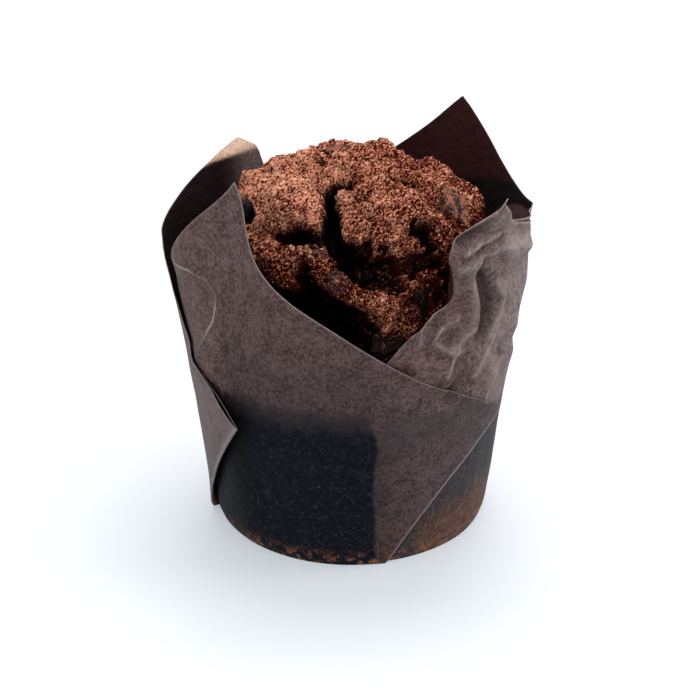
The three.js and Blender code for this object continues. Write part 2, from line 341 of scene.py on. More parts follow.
# The long crease across the front petal's left shoulder. Below it, the paper is turned away.
SHOULDER = (
    (-97, 50.5), (-82, 51.8), (-63.4, 53.6), (-55, 52.9),
    (-50, 50.5), (-51.5, 46), (-56, 42), (-64, 36),
)
SHOULDER_RADIUS = 31
SHOULDER_REACH_ABOVE = 7
SHOULDER_REACH_BELOW = 4
SHOULDER_START = -94
SHOULDER_FADE = 25

# Small folds of crushed paper: a direction in the sheet, a spacing and a share of the whole. They
# are deepest round the right petal, and shallow elsewhere.
CRUSH = ((20, 11, 1), (75, 8, 0.8), (128, 13, 1), (160, 6, 0.5), (50, 4.6, 0.3), (100, 3.4, 0.2))
CRUSH_RADIUS = 30
CRUSH_WARP = 2.4
CRUSH_WARP_SIZE = 9
CRUSH_SHIFT = 0.37
CRUSH_ANGLE = 62
CRUSH_FULL = 1.35
CRUSH_SPREAD = 38
CRUSH_LOWEST = 24
CRUSH_RISE = 10
CRUSH_FOOT = 8
CRUSH_SHALLOW = 0.5
CRUSH_DEEP = 4.2
FOLDS_MIDDLE = 0.25
FOLDS_TOP = 0.5

# How strongly the folds and the creases show in the paper's painted shade and highlight, and how pale
# its edge is, worn and with a painted highlight.
FOLDS_RELIEF = 1.2
CREASES_RELIEF = 0.6
EDGE_WEAR_AND_HIGHLIGHT = 0.5

# What each point of the paper carries for its finish: whether it is on the ear, how pale it is with
# wear and a painted highlight, how far its creases stand out, its petal, and how far it is from the
# shoulder crease.
PAPER_MARKS = ("ear", "wear", "relief", "petal", "shoulder")


def turned(angle, radius, height):
    """The point at an angle round the case, a radius and a height."""
    turn = math.radians(angle)
    return Vector((radius * math.sin(turn), -radius * math.cos(turn), height))


def cone_radius(height):
    """The mould's cone, drawn in at the foot where the paper rounds into the base."""
    foot = max(0.0, 1 - height / FOOT_HEIGHT)
    return BASE_RADIUS + WALL_FLARE * height - FOOT_INSET * foot * foot


def foot_dent(angle, height):
    """How far the foot is pushed in at the front left, where the case has been pressed."""
    off_middle = ((angle - DENT_ANGLE + 180) % 360 - 180) / DENT_WIDTH
    foot = max(0.0, 1 - height / DENT_HEIGHT)
    return DENT_DEPTH * math.exp(-off_middle * off_middle) * foot * foot


def through(values, x):
    """A smooth curve through evenly spaced values, read at place x."""
    last = len(values) - 1
    i = min(int(x), last - 1)
    u = x - i
    b, c = values[i], values[i + 1]
    a = values[i - 1] if i > 0 else 2 * b - c
    d = values[i + 2] if i + 2 <= last else 2 * c - b
    bend = (2 * a - 5 * b + 4 * c - d) * u * u
    twist = (3 * b - a - 3 * c + d) * u ** 3
    return 0.5 * (2 * b + (c - a) * u + bend + twist)


def rib_at(corners, ribs, x):
    """The rib at place x of a petal. Its edge comes to a point at the corner ribs only."""
    stops = (0, *corners, len(ribs) - 1)
    first, last = next(pair for pair in zip(stops, stops[1:]) if x <= pair[1])
    columns = list(zip(*ribs))
    edge = [through(columns[k][first:last + 1], x - first) for k in (1, 2)]
    base, *stand_off = [through(columns[k], x) for k in (0, 3, 4, 5, 6)]
    return (base, *edge, *stand_off)


def up_rib(rib, t):
    """Angle, height and stand-off at share t of the way up a rib."""
    base, top, height, low, middle, high, bow = rib
    off = low * (1 - t) * (1 - 2 * t) + 4 * middle * t * (1 - t) + high * t * (2 * t - 1)
    return base + (top - base) * t, height * (t + bow * t * (1 - t)), off


def between(first, second, share):
    """Each number of two rows of them, at a share of the way from the first row to the second."""
    return tuple(a + (b - a) * share for a, b in zip(first, second))


def near_line(places, start, end):
    """How far each place is from the straight line between two places, and its share along it."""
    start, run = np.array(start), np.array(end) - np.array(start)
    share = np.clip((places - start) @ run / (run @ run), 0, 1)
    return np.linalg.norm(places - start - share[..., None] * run, axis=-1), share


def side_of_line(places, line):
    """How far each place is from a bent line: more than 0 on its left hand, less on its right."""
    nearest = np.full(places.shape[:-1], np.inf)
    for start, end in zip(line, line[1:]):
        away, _ = near_line(places, start, end)
        run = np.array(end) - np.array(start)
        offset = places - np.array(start)
        side = np.sign(run[0] * offset[..., 1] - run[1] * offset[..., 0])
        nearest = np.where(away < np.abs(nearest), away * side, nearest)
    return nearest


def noise_at(places, size, shift=0.0):
    """Smooth noise at an array of places."""
    flat = places.reshape(-1, 3) / size + shift
    return np.array([noise.noise(place) for place in flat]).reshape(places.shape[:-1])


def unrolled(around, height, radius, line):
    """Points of the wall and a line across it, both laid flat, with the wall taken as a cylinder."""
    degree = np.radians(radius)
    return np.stack([around * degree, height], axis=-1), [(a * degree, h) for a, h in line]


def crushed(angle, around, height):
    """The zigzag of small folds: 0 in their valleys, 0.5 on their ridges."""
    turn = np.radians(angle)
    round_places = np.stack(
        [CRUSH_RADIUS * np.sin(turn), -CRUSH_RADIUS * np.cos(turn), height], axis=-1)
    warp = noise_at(round_places, CRUSH_WARP_SIZE) * CRUSH_WARP
    across = around * np.radians(BASE_RADIUS + WALL_FLARE * height)
    folds = np.zeros_like(angle)
    for number, (direction, spacing, share) in enumerate(CRUSH):
        lean = math.radians(direction)
        along = across * math.cos(lean) + height * math.sin(lean) + warp
        folds += share * spacing * np.abs((along / spacing + CRUSH_SHIFT * number) % 1 - 0.5)
    return folds / sum(spacing * share for _, spacing, share in CRUSH)


def creased(angle, height, off):
    """Adds creases to how far the paper stands off, and gives its wear-and-highlight, relief and
    shoulder marks.
    """
    around = (angle + 180) % 360 - 180
    folds = crushed(angle, around, height)
    free = np.clip(CRUSH_FULL - np.abs(around - CRUSH_ANGLE) / CRUSH_SPREAD, 0, 1)
    free = free * np.clip((height - CRUSH_LOWEST) / CRUSH_RISE, 0, 1)
    foot = np.clip(height / CRUSH_FOOT, 0, 1)
    off = off - foot * (CRUSH_SHALLOW + CRUSH_DEEP * free) * (folds - FOLDS_MIDDLE)
    wear = np.zeros_like(angle)
    relief = (FOLDS_TOP - folds) * FOLDS_RELIEF * free
    for line, rise, reach in CREASES:
        places, flat = unrolled(around, height, BASE_RADIUS + WALL_FLARE * line[0][1], line)
        away = np.min([near_line(places, *ends)[0] for ends in zip(flat, flat[1:])], axis=0)
        ridge = rise * np.clip(1 - away / reach, 0, 1)
        off = off + ridge
        relief = relief + ridge * CREASES_RELIEF
        if rise > 0:
            wear = np.maximum(wear, CREASE_WEAR_AND_HIGHLIGHT * (1 - away / CREASE_WEAR_AND_HIGHLIGHT_REACH))
    shoulder = side_of_line(*unrolled(around, height, SHOULDER_RADIUS, SHOULDER))
    fall = np.where(shoulder > 0, shoulder / SHOULDER_REACH_ABOVE, -shoulder / SHOULDER_REACH_BELOW)
    start = np.clip((around - SHOULDER_START) / SHOULDER_FADE, 0, 1)
    off = off + np.clip(1 - fall, 0, 1) * start
    return off, np.clip(wear, 0, 1), relief, shoulder


def bend_ear(point):
    """Bends the back petal's corner outwards over its crease."""
    start, end = (turned(angle, cone_radius(height) + EAR_STAND_OFF, height)
                  for angle, height in (EAR_FROM, EAR_TO))
    along = (end - start).normalized()
    outward = turned((EAR_FROM[0] + EAR_TO[0]) / 2, 1, 0)
    up = along.cross(outward).normalized()
    up = up if up.z > 0 else -up
    outward = up.cross(along).normalized()
    outward = outward if outward.dot(start) > 0 else -outward
    offset = point - start
    past = offset.dot(up)
    if past <= 0:
        return point, 0
    turn = min(past / EAR_ROUND, EAR_TURN)
    straight = past - turn * EAR_ROUND
    rise = EAR_ROUND * math.sin(turn) + straight * math.cos(turn)
    out = EAR_ROUND * (1 - math.cos(turn)) + straight * math.sin(turn)
    bent = start + along * offset.dot(along) + up * rise + outward * (offset.dot(outward) + out)
    return bent, min(1, past / EAR_FADE)


def case_columns():
    """Every column of the paper: its way up from the base, its petal, and whether it is a fold."""
    columns = []
    for index, (corners, density, lap_count, ribs) in enumerate(PETALS):
        count = (len(ribs) - 1) * density
        for i in range(count + 1):
            rib = rib_at(corners, ribs, i / density)
            columns.append((lambda t, rib=rib: up_rib(rib, t), index, 1 if i == count else 0))
        next_ribs = PETALS[(index + 1) % len(PETALS)][3]
        wrap = 360 if index == len(PETALS) - 1 else 0
        outer = ribs[-1]
        inner = (next_ribs[0][0] + wrap, next_ribs[0][1] + wrap, *next_ribs[0][2:])
        for i in range(lap_count + 3):
            share = min(1, max(0, (i - 1) / lap_count))
            turning = 0.5 if i == 0 else (-0.5 if i == lap_count + 2 else 0)
            columns.append((lambda t, a=(outer, inner, share, turning): up_lap(*a, t), len(PETALS), 0))
    return columns


def up_lap(outer, inner, share, turning, t):
    """The hidden layer of a pleat, between one petal's last fold and the next petal's first."""
    a, b = up_rib(outer, t), up_rib(inner, t)
    angle, height, _ = between(a, b, share)
    sag = LAP_SAG * math.sin(math.pi * share) * t
    off = b[2] + LAP_STEP + (a[2] - b[2] - 2 * LAP_STEP) * (1 - share) ** LAP_HUG
    return angle + LAP_TURN * turning, height - sag, off + turning * LAP_STEP


def case_table():
    """The place of every point of the wall, row by row, with its marks for the finish."""
    columns = case_columns()
    shares = (np.arange(CASE_ROWS + 1) / CASE_ROWS) ** ROW_CROWDING
    ways = np.array([[reach(t) for reach, _, _ in columns] for t in shares])
    angle, height, off = (ways[..., k] for k in range(3))
    petal = np.array([index for _, index, _ in columns])
    off, wear, relief, shoulder = creased(angle, height, off)
    wear = np.maximum(wear, np.array([folded for _, _, folded in columns]))
    wear[-1] = np.maximum(wear[-1], EDGE_WEAR_AND_HIGHLIGHT)
    points = []
    for row in range(CASE_ROWS + 1):
        line = []
        for column in range(len(columns)):
            high = height[row, column]
            radius = cone_radius(high) + off[row, column] - foot_dent(angle[row, column], high)
            point = turned(angle[row, column], radius, high)
            ear = 0
            if petal[column] == EAR_PETAL:
                point, ear = bend_ear(point)
            marks = (ear, wear[row, column], relief[row, column], petal[column], shoulder[row, column])
            line.append((point * MM, marks))
        points.append(line)
    return points, [way[0] for way in ways[0]]


def next_ring(bm, edges):
    """Extrudes a ring of edges, and gives the points and the edges of the new ring."""
    made = bmesh.ops.extrude_edge_only(bm, edges=edges)["geom"]
    verts = [part for part in made if isinstance(part, bmesh.types.BMVert)]
    fresh = set(verts)
    return verts, [part for part in made
                   if isinstance(part, bmesh.types.BMEdge) and all(v in fresh for v in part.verts)]


def smooth_skin(bm):
    """Turns every face outwards and shades it smoothly."""
    bmesh.ops.recalc_face_normals(bm, faces=bm.faces)
    for face in bm.faces:
        face.smooth = True


def tulip_paper():
    """The folded sheet as one skin: rows up the wall to the free edge, then rings of the base."""
    points, folded = case_table()
    count = len(folded)
    bm = bmesh.new()
    layer = bm.verts.layers.int.new("column")
    marks = [bm.verts.layers.float.new(name) for name in PAPER_MARKS]
    bmesh.ops.create_circle(bm, cap_ends=False, segments=count, radius=1)
    bm.verts.ensure_lookup_table()
    for i, vert in enumerate(bm.verts):
        vert[layer] = i

    def set_down(verts, line):
        """Puts each point of a ring at its column's place in a row, with its marks."""
        for vert in verts:
            vert.co, values = line[vert[layer]]
            for mark, value in zip(marks, values):
                vert[mark] = value

    set_down(bm.verts, points[0])
    rim = list(bm.edges)
    edges = rim
    for line in points[1:]:
        verts, edges = next_ring(bm, edges)
        set_down(verts, line)
    edges = rim
    for ring in BASE_RINGS:
        line = []
        for i in range(count):
            even = folded[0] + 360 * i / count
            angle = even + (folded[i] - even) * ring ** 2
            radius = BASE_RADIUS - FOOT_INSET - foot_dent(angle, 0)
            line.append((turned(angle, radius * ring, 0) * MM, points[0][i][1]))
        verts, edges = next_ring(bm, edges)
        set_down(verts, line)
    bmesh.ops.edgeloop_fill(bm, edges=edges)
    smooth_skin(bm)
    return bm


def fold_lines(place, scale):
    """Height of crushed paper: straight slopes that meet in sharp lines."""
    slope = place.noise(scale, 1.0, 0.4) - 0.5
    return slope.maths("ABSOLUTE", slope)


def on_right_petal(petal):
    """1 on the right petal, and 0 on the others."""
    return petal.step(0.5, 0.9) * petal.step(1.5, 1.1)


def inner_paper(place, petal, ear, tone):
    """The inside: dark with grease and painted shade, painted lighter near the ear, with painted shade
    at its left, a nearly black painted shadow in a fold, and painted light on the upturned ear.
    """
    x, _, z = (place.axis(index) for index in range(3))
    back_right = petal.step(1.5, 1.9) * petal.step(2.5, 2.1)
    back_left = petal.step(2.5, 2.9)
    # Dark with grease, and darker still with painted shade.
    colour = tone.mix((0.012, 0.0016, 0.0016), (0.022, 0.0042, 0.0038))
    # Painted light: the back left petal's inside is greyer and paler near the ear.
    painted_light_near_ear = back_left * x.step(-25, -19) * z.step(50, 55)
    colour = (painted_light_near_ear * 0.85).mix(colour, tone.mix((0.05, 0.035, 0.032), (0.1, 0.078, 0.07)))
    # Painted shade: the back left petal's inside goes nearly black further left.
    shaded = back_left * x.step(-19, -25)
    colour = (shaded * 0.85).mix(colour, (0.003, 0.0012, 0.0012))
    # Painted shadow: nearly black below a fold inside the back right petal.
    painted_fold_shadow = back_right * x.step(17, 21) * (z - x * 0.3).step(49.2, 47.8)
    colour = (painted_fold_shadow * 0.85).mix(colour, (0.0016, 0.0008, 0.0008))
    rim = back_right * x.step(27, 28.5) * (z - x * 0.95).step(25.8, 25.2)
    colour = (rim * 0.85).mix(colour, tone.mix((0.04, 0.018, 0.015), (0.1, 0.052, 0.044)))
    # Painted light: the upturned ear is pale tan.
    return ear.mix(colour, tone.mix((0.2, 0.125, 0.092), (0.32, 0.215, 0.165)))


def dry_paper(place, petal, relief, tone):
    """The dry outside: darker low on the front and paler where dry, with painted light on its sides,
    painted shade in crease valleys and a painted highlight on crease crests.
    """
    x, _, z = (place.axis(index) for index in range(3))
    # Paler where dry: high up, and on the left side and the petals behind the front one, whose paleness
    # there is partly painted light from the sides.
    dry_and_side_lit = z.step(18, 62).at_least(x.step(-17, -26)).at_least(petal.step(0.4, 0.6) * z.step(21, 27))
    low_left = tone.mix((0.0145, 0.0088, 0.0094), (0.051, 0.034, 0.036))
    low_right = tone.mix((0.023, 0.0138, 0.0143), (0.084, 0.056, 0.057))
    high = tone.mix((0.032, 0.0158, 0.014), (0.125, 0.082, 0.0755))
    # Painted light: the right petal's outer right part is paler, a painted sheen at that edge.
    painted_light_right = tone.mix((0.11, 0.08, 0.075), (0.21, 0.17, 0.16))
    high = (x.step(18, 31) * on_right_petal(petal) * 0.6).mix(high, painted_light_right)
    colour = dry_and_side_lit.mix(x.step(2, 13).mix(low_left, low_right), high)
    # Painted light: the back left petal is paler and greyer, a painted sheen on that side.
    colour = (petal.step(2.5, 2.9) * 0.22).mix(colour, (0.2, 0.17, 0.172))
    # Painted shade darkens the crease valleys, and a painted highlight pales their crests.
    colour = (relief.step(0.2, -0.6) * 0.7).mix(colour, (0.02, 0.013, 0.0125))
    return (relief.step(0.45, 0.95) * 0.25).mix(colour, (0.23, 0.18, 0.172))


def greased(colour, place, petal, tone, mottle):
    """Adds the grease that came through: a nearly black front patch with a painted shadow of the flap
    at its left end, brown stains and flakes.
    """
    x, y, z = (place.axis(index) for index in range(3))
    ragged = place.noise(0.5, 4.0, 0.65) - 0.5
    facing_front = (y + ragged * 16).step(7, -5)
    front_petal = petal.step(0.6, 0.3) * facing_front

    # The soaked patch: a straight right edge where the sheet is doubled, and a ragged top.
    right_edge = (x + ragged * 1.6 + (place.noise(0.09, 1.0) - 0.5) * 3).step(5.2, 4.3)
    top_edge = (z + ragged * 5 + (x - 1).at_least(0.0) ** 2.0 * 0.25).step(34, 31.2)
    soaked = right_edge * top_edge * front_petal
    deep = (z + ragged * 5).step(31.5, 27.5)
    patch = deep.mix((0.014, 0.011, 0.014), (0.0014, 0.002, 0.0052))
    flecks = place.noise(1.3, 4.0, 0.8).step(0.48, 0.72)
    patch = (flecks * 0.8).mix(patch, (0.02, 0.019, 0.026))
    # Painted shadow of the flap: towards it the soaked patch turns evenly near black.
    patch = x.step(-14, -21).mix(patch, (0.0022, 0.0022, 0.003))
    colour = (soaked * (0.85 + 0.15 * deep)).mix(colour, patch)

    # Lighter stains: a band beside the patch, the wall under the flap, and rust low on the right.
    band = (z + ragged * 4).step(32, 30.5) * z.step(19, 28) * x.step(4, 8) * front_petal
    colour = (band * 0.45).mix(colour, (0.028, 0.024, 0.027))
    under_flap = on_right_petal(petal) * z.step(27, 21) * facing_front
    colour = (under_flap * 0.85).mix(colour, tone.mix((0.011, 0.011, 0.014), (0.035, 0.031, 0.035)))
    rust = (z + ragged * 14 - (x - 10) * 0.2).step(10, 4)
    rust = rust * x.step(9, 15) * (y + ragged * 20).step(5, -12)
    colour = (rust * 0.75).mix(colour, tone.mix((0.03, 0.016, 0.011), (0.12, 0.055, 0.033)))

    # Bare paper at the foot, a brown blush on the flap and flakes in the patch.
    foot = (z + ragged * 7).step(4.5, 0.5) * facing_front
    bare = (place.noise(0.5, 5.0, 0.75).step(0.5, 0.56) * foot).at_most(0.85)
    colour = bare.mix(colour, mottle.mix((0.07, 0.022, 0.01), (0.3, 0.11, 0.05)))
    blush = (x + ragged * 4).step(4, 9) * (z + ragged * 8).step(13, 2) * front_petal
    colour = (blush * 0.6).mix(colour, tone.mix((0.025, 0.01, 0.009), (0.08, 0.038, 0.03)))
    flake = place.noise(0.8, 5.0, 0.85).step(0.63, 0.66) * z.step(24, 8) * soaked
    return (flake * 0.8).mix(colour, (0.16, 0.07, 0.04))


def worn_and_highlit(colour, place, petal, wear, shoulder):
    """Adds pale lines on folds, raised creases and edges, wear with a painted highlight, and likewise
    the thin pale line of the shoulder crease.
    """
    x, _, z = (place.axis(index) for index in range(3))
    # Wear and a painted highlight pale the folds, raised creases and free edges.
    colour = (wear * 0.65).mix(colour, (0.25, 0.21, 0.2))
    # The shoulder crease gets a thin pale line, wear with a painted highlight.
    line = shoulder.step(-0.5, -0.05) * shoulder.step(0.22, 0.05)
    line = line * petal.step(0.6, 0.3) * z.step(35, 42)
    clear = x.step(-26.5, -29).at_least(z.step(50.5, 48) * z.step(40, 46))
    return (line * (0.3 + 0.7 * clear) * 0.6).mix(colour, (0.28, 0.245, 0.235))


def paper_finish(name, inside):
    """Brown greaseproof paper, mottled and creased, in the colours of its inside or its outside."""
    material, place = new_finish(name, 0.62, Specular_IOR_Level=0.06)
    ear, wear, relief, petal, shoulder = (place.mark(mark) for mark in PAPER_MARKS)
    mottle = place.noise(1.7, 4.0, 0.8)
    tone = (mottle * 0.75 + place.noise(0.3, 3.0, 0.6) * 0.25).step(0.36, 0.64)
    if inside:
        colour = inner_paper(place, petal, ear, tone)
    else:
        colour = dry_paper(place, petal, relief, tone)
        colour = greased(colour, place, petal, tone, mottle)
        colour = worn_and_highlit(colour, place, petal, wear, shoulder)
    finish_socket(material, "Base Color", colour)
    crushed_part = on_right_petal(petal) * place.axis(2).step(28, 36)
    facets = fold_lines(place, 0.13) + fold_lines(place, 0.24) * 0.5
    normal = (facets * crushed_part).bump(1.0, 0.0045)
    normal = place.noise(0.6, 3.0).bump(0.6, 0.0006, normal)
    normal = place.noise(3.5, 3.0, 0.7).bump(0.5, 0.00012, normal)
    finish_socket(material, "Normal", normal)
    return material


paper_sides = (paper_finish("case_paper", False), paper_finish("case_paper_inside", True))
tulip = new_piece("tulip_paper", tulip_paper(), *paper_sides)
wall = tulip.modifiers.new("paper", "SOLIDIFY")
wall.thickness = PAPER_THICKNESS * MM
wall.offset = 0
wall.material_offset = 1
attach(tulip, "root")
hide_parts("tulip_case")

# Cake.
# One piece of chocolate sponge. It filled the mould as it baked, rose over the top and split, and
# its crown is dusted with cocoa that has clumped into a rough grain.
CROWN_BASE = 38.0
CROWN_RADIUS = 26.9
CROWN_HEIGHT = 30.3
CROWN_FULLNESS = 2.6
CAKE_FOOT_RADIUS = 22.7
CAKE_FOOT = 0.85
CROWN_CELLS = 300
SIDE_ROWS = 6
CRUST_FADE = 14
LUMP_SIZE = 3.8
LUMP_HEIGHT = 1.3
CLUMP_SIZE = 1.5
CLUMP_HEIGHT = 0.55
GRAIN_SIZE = 0.8
GRAIN_HEIGHT = 0.35
HAIRLINE_SIZE = 4.2
HAIRLINE_WIDTH = 0.05
HAIRLINE_DEPTH = 1.6

# Lobes of the crown: a place, how far round it each reaches, and how far it rises, or sinks where
# that is negative.
LOBES = (
    ((-11, -11, 65), 10, 1.6),
    ((8, -14, 64), 11, 2.2),
    ((-14, -19, 57), 6.5, 1.6),
    ((-3, -24, 55), 3.6, 1.4),
    ((7, -25, 51), 6, 1.6),
    ((21, 2, 60), 9, 1.5),
    ((16, 6, 64.5), 7, 1.4),
    ((5, 12, 67), 6, 1.4),
    ((-3, 12, 67), 5, 0.3),
    ((-16, 8, 63), 8, -1.6),
    ((-18, 3, 63.5), 4.5, 1.2),
    ((18.8, -6, 62), 4.6, -1.1),
)

# Places where melted chocolate has left the crust wet, and how far each reaches.
WET = (((-5.4, -20, 60.8), 3.2), ((-2.4, -24, 55.4), 2.8))

# Cracks: places along each, with how deep it goes there and how far to each side it reaches.
CRACKS = (
    ((-5.2, -9.6, 67.1, 2, 0.8), (-4.2, -8.6, 67.5, 4, 1), (-2.8, -7.9, 67.7, 5, 1.1),
     (-1.6, -6.2, 68, 4, 0.9), (-0.2, -7.3, 67.9, 3.5, 0.8), (0.2, -9.9, 67.4, 2.5, 0.6)),
    ((-2.8, -7.9, 67.7, 5, 1), (-3.7, -10.5, 67.1, 6, 1.1), (-3.8, -13, 66.2, 6.5, 1.2),
     (-3.1, -15.2, 65.3, 7, 1.2), (-3.2, -17.8, 63.8, 7, 1.2), (-3.3, -19.2, 62.4, 6.5, 1.3),
     (-1.8, -21, 60.6, 6, 1.6), (0.3, -22.6, 58.4, 5.5, 1.8), (2.6, -23.6, 56.8, 5, 1.7),
     (6, -24, 55, 4, 1.2), (8.5, -23.3, 54.4, 2.5, 0.9)),
    ((-0.3, -21.5, 60, 4.5, 1.8), (2.4, -22.4, 58.6, 5.5, 2.4), (5.5, -22.6, 57.4, 3.4, 2.2),
     (9, -21.4, 57.2, 2, 2), (13, -19, 57.2, 1.8, 1.6)),
    ((10.6, -15.8, 62.4, 4, 0.8), (13.2, -16.3, 60.6, 5, 1.2), (14.4, -18.2, 57.6, 4, 0.9),
     (15.4, -18.7, 55, 4, 1.2), (17.5, -18, 52, 3, 1.2)),
    ((-12.8, -16, 61.4, 3, 0.9), (-10.6, -17.3, 61.3, 5, 1.6), (-8.4, -18, 61.4, 5, 1.6),
     (-5.8, -19, 61.2, 4, 1.1)),
    ((-8.8, -20.9, 58.4, 1.5, 0.5), (-7.9, -22.6, 56, 4, 1), (-7.2, -23.7, 53.6, 5, 1.8)),
    ((-18, -17.5, 53, 2, 1), (-14.7, -20.4, 51.6, 4, 2), (-11, -22.7, 50.6, 5, 2.6),
     (-7.7, -24.1, 50, 5.5, 3), (-4.3, -25, 49.8, 5.5, 3), (-0.9, -25.7, 48.4, 5, 3),
     (2, -26.2, 46, 4.5, 2.8), (5, -26.2, 43, 4, 2.5), (7, -26, 40, 3, 2)),
    ((-14, -21.5, 46, 4, 3.5), (-4, -26, 43, 4, 4), (4, -26.5, 38, 4, 3)),
    ((5.2, -6.8, 67.5, 2.5, 0.7), (8.5, -5.6, 67.3, 3.5, 0.95), (11.6, -6.2, 66.5, 2.5, 0.7)),
    ((0.4, -21, 61.8, 3.5, 0.8), (3.4, -21, 61.4, 4, 0.9), (6.4, -20.6, 60.8, 3, 0.7)),
    ((-20.2, 1.6, 62, 3, 0.8), (-19, -0.4, 62.6, 3, 0.8)),
    ((-19.2, -4, 62.4, 2.5, 0.8), (-18, -9, 61.9, 3.5, 1.4)),
    ((6, 3, 68.5, 1.2, 0.7), (-4, 4, 68.5, 1.8, 0.8), (-9, 0, 67.6, 1.4, 0.7)),
    ((14, 2, 66, 1.4, 0.7), (12, 10, 65.4, 2, 0.9), (6, 17, 64, 1.6, 0.8)),
    ((-14, 12, 63, 1.5, 0.8), (-8, 17, 62.6, 2.2, 1), (-1, 21, 60, 1.6, 0.8)),
)

# Crumbs left standing in the top crack, and how far each reaches.
CRUMBS = (((-1.2, -8.9, 67.6), 1.1),)


def crown_places(flat):
    """Lays places of a unit disc over the plain dome, evenly down its curve."""
    radius = np.linspace(0, CROWN_RADIUS, 400)
    drop = (1 - (radius / CROWN_RADIUS) ** CROWN_FULLNESS) ** (1 / CROWN_FULLNESS)
    height = CROWN_BASE + CROWN_HEIGHT * drop
    length = np.concatenate([[0], np.cumsum(np.hypot(np.diff(radius), np.diff(height)))])
    far = np.minimum(1, np.hypot(flat[:, 0], flat[:, 1]))
    turn = np.arctan2(flat[:, 0], -flat[:, 1])
    out = np.interp(far * length[-1], length, radius)
    high = np.interp(far * length[-1], length, height)
    return np.stack([out * np.sin(turn), -out * np.cos(turn), high], axis=1), far


def wander(places, size, shifts):
    """Noise in three directions, which bends straight lines and round cells out of true."""
    return np.stack([noise_at(places, size, shift) for shift in shifts], axis=1)


def crack_depths(places):
    """How deep the cracks cut at places of the plain dome. Their edges are torn, so they wander."""
    torn = wander(places, 1.9, (0.0, 9.0, 4.0)) * 1.2 + wander(places, 0.7, (0.0, 7.0, 3.0)) * 0.5
    deepest = np.zeros(len(places))
    for crack in CRACKS:
        for start, end in zip(crack, crack[1:]):
            away, share = near_line(places + torn, start[:3], end[:3])
            depth = start[3] + (end[3] - start[3]) * share
            reach = start[4] + (end[4] - start[4]) * share
            edge = np.clip((1.25 - away / (reach * 1.1)) * 2.6, 0, 1)
            deepest = np.maximum(deepest, depth * edge * edge * (3 - 2 * edge))
    for centre, reach in CRUMBS:
        away = np.linalg.norm(places + torn * 0.6 - np.array(centre), axis=1)
        deepest = np.minimum(deepest, 6 * np.clip(away / reach - 0.55, 0, 1))
    return deepest


def crust_relief(places):
    """How far the crust stands out from the plain dome, how deep the cracks are, how it clumps."""
    rise = np.zeros(len(places))
    for centre, reach, height in LOBES:
        near = np.clip(1 - np.linalg.norm(places - np.array(centre), axis=1) / reach, 0, 1)
        rise += height * near * near * (3 - 2 * near)
    pit = crack_depths(places) * (1 + 0.55 * noise_at(places, 1.6, 2.0))
    hairline = 1 - np.abs(noise_at(places, HAIRLINE_SIZE, 3.0)) / HAIRLINE_WIDTH
    broken = np.clip(noise_at(places, 7, 1.0) * 6 + 0.3, 0, 1)
    hairline = HAIRLINE_DEPTH * np.clip(hairline, 0, 1) * broken
    pit = np.maximum(pit, hairline)
    lumps = np.array([noise.fractal(place / LUMP_SIZE, 0.75, 2.1, 4) for place in places])
    lumps *= LUMP_HEIGHT
    lumps += noise_at(places, 8.5, 6.0) * 1.6 - np.abs(noise_at(places, 2.4, 7.0)) * 1.4 + 0.3
    bent = places + wander(places, 0.9, (0.0, 5.0, 8.0)) * 0.5
    clumps = np.array([0.5 - noise.voronoi(place / CLUMP_SIZE)[0][0] for place in bent])
    grains = np.array([0.5 - noise.voronoi(place / GRAIN_SIZE)[0][0] for place in bent])
    relief = rise - pit + lumps + CLUMP_HEIGHT * clumps + GRAIN_HEIGHT * grains
    return relief, pit, clumps + 0.7 * grains


def cake_body():
    """The cake: a fine net laid over the crown, with a plain side down to the flat foot."""
    bm = bmesh.new()
    marks = [bm.verts.layers.float.new(name) for name in ("pit", "clump", "wet")]
    bmesh.ops.create_grid(bm, x_segments=CROWN_CELLS, y_segments=CROWN_CELLS, size=1)
    u, v = np.array([vert.co[:2] for vert in bm.verts]).T
    disc = np.stack([u * np.sqrt(1 - v * v / 2), v * np.sqrt(1 - u * u / 2)], axis=1)
    places, far = crown_places(disc)
    relief, pit, clump = crust_relief(places)
    wet = np.max([1 - np.linalg.norm(places - np.array(spot), axis=1) / reach
                  for spot, reach in WET], axis=0)
    outward = places - np.array((0, 0, CROWN_BASE))
    outward /= np.linalg.norm(outward, axis=1)[:, None]
    places = places + outward * (relief * np.clip((1 - far) * CRUST_FADE, 0, 1))[:, None]
    for vert, place, values in zip(bm.verts, places, zip(pit, clump, wet)):
        vert.co = Vector(place) * MM
        for mark, value in zip(marks, values):
            vert[mark] = value
    edges = [e for e in bm.edges if e.is_boundary]
    for row in range(1, SIDE_ROWS + 1):
        share = row / SIDE_ROWS
        height = CROWN_BASE + (CAKE_FOOT - CROWN_BASE) * share
        radius = CROWN_RADIUS + (CAKE_FOOT_RADIUS - CROWN_RADIUS) * share
        verts, edges = next_ring(bm, edges)
        for vert in verts:
            flat = Vector((vert.co.x, vert.co.y, 0)).normalized() * radius
            vert.co = Vector((flat.x, flat.y, height)) * MM
    bmesh.ops.edgeloop_fill(bm, edges=edges)
    smooth_skin(bm)
    return bm


